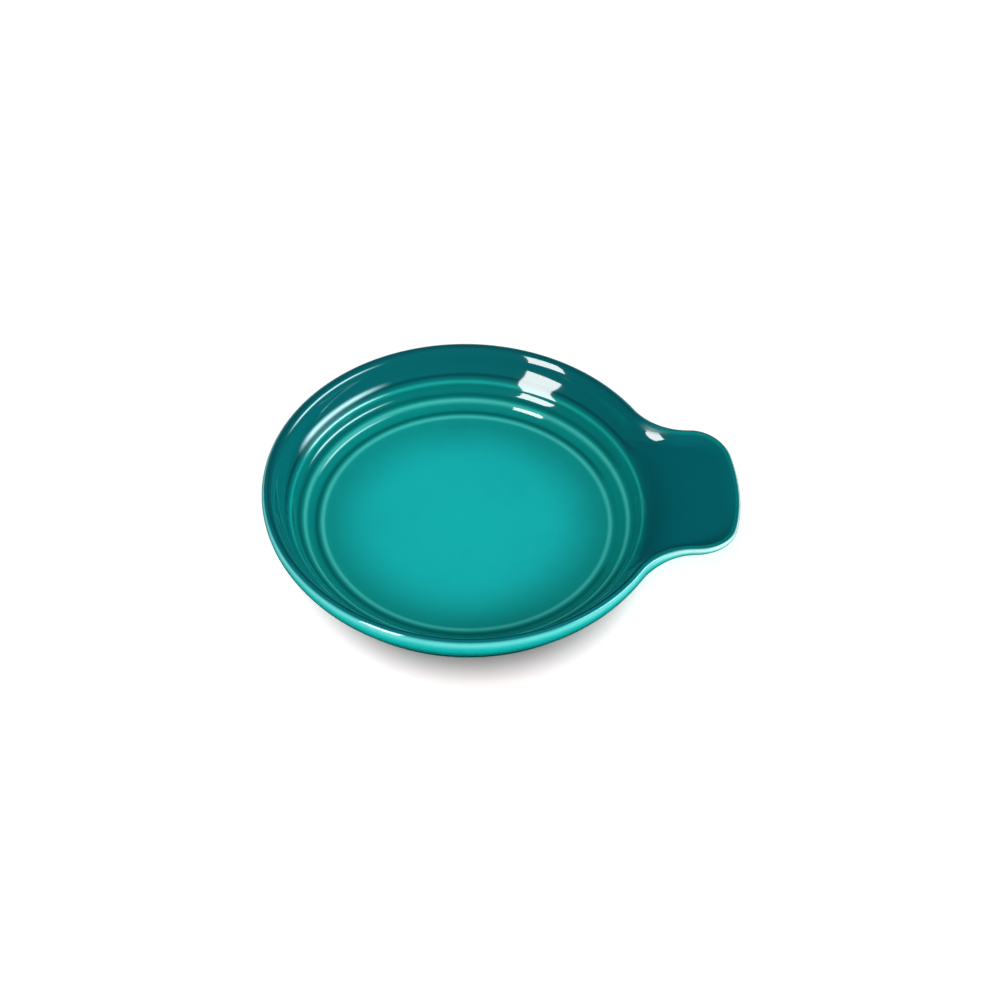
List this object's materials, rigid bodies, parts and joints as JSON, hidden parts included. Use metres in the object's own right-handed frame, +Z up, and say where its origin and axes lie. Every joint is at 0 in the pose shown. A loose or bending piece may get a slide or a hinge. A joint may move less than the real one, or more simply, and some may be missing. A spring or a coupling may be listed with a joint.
{
  "type": "spoon rest",
  "caption": "Shallow round stoneware spoon rest with raised rings inside, a rounded rim and a short scooped handle, glazed inside and out and bare on its foot ring.",
  "frame": {"origin": "on the table, under the middle of the whole outline", "axes": "+Z up from the foot ring to the rim, +X from the bowl to the end of the handle"},
  "size_m": [0.1508, 0.129, 0.0231],
  "materials": {
    "bare_clay": "bare fired stoneware",
    "inside_glaze": "gloss glaze, turquoise on the floor and darker to the rim and handle",
    "outside_glaze": "gloss glaze, even turquoise"
  },
  "bodies": {
    "root": {"stoneware_body": "bare_clay", "inside_glaze": "inside_glaze", "outside_glaze": "outside_glaze", "foot_well_glaze": "outside_glaze"}
  },
  "joints": []
}
